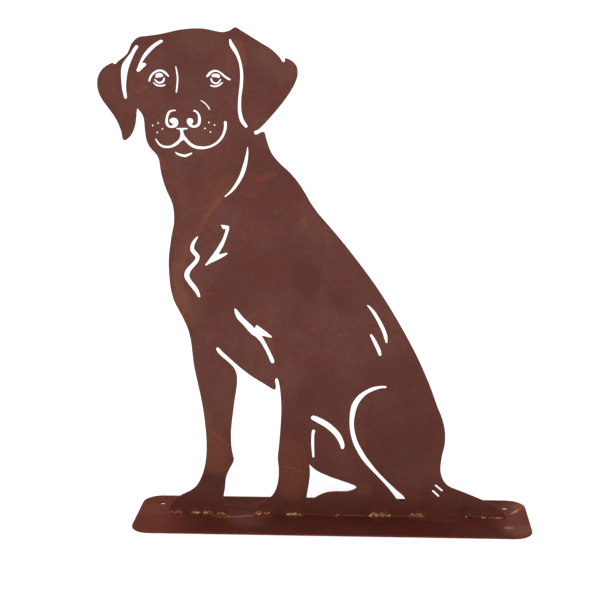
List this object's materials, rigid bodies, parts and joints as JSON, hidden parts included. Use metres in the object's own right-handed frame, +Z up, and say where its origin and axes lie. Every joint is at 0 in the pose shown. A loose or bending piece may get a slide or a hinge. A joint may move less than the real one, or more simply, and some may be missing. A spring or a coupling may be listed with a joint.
{
  "type": "sheet steel dog silhouette sculpture",
  "caption": "Sitting dog cut from flat rusted steel sheet with slots for its features, welded upright on a thin rounded base plate.",
  "frame": {"origin": "middle of the base plate's underside, in the plane of the dog's sheet", "axes": "+Z up, +X along the base towards the dog's tail, +Y through the sheet towards its back, away from the welded side"},
  "size_m": [0.5215, 0.125, 0.602],
  "materials": {
    "rusted_sheet": "even brown rust with warmer orange streaks, satin",
    "rusted_base": "darker brown rust, satin, with small weld spatter",
    "weld_metal": "straw-coloured and orange weld metal with grey glints"
  },
  "bodies": {
    "root": {"dog_plate": "rusted_sheet", "base_plate": "rusted_base", "weld_bead_01": "weld_metal", "weld_bead_02": "weld_metal", "weld_bead_03": "weld_metal", "weld_bead_04": "weld_metal", "weld_bead_05": "weld_metal", "weld_bead_06": "weld_metal", "weld_bead_07": "weld_metal", "weld_bead_08": "weld_metal", "weld_bead_09": "weld_metal", "weld_bead_10": "weld_metal", "weld_bead_11": "weld_metal", "weld_bead_12": "weld_metal", "weld_bead_13": "weld_metal"}
  },
  "joints": []
}
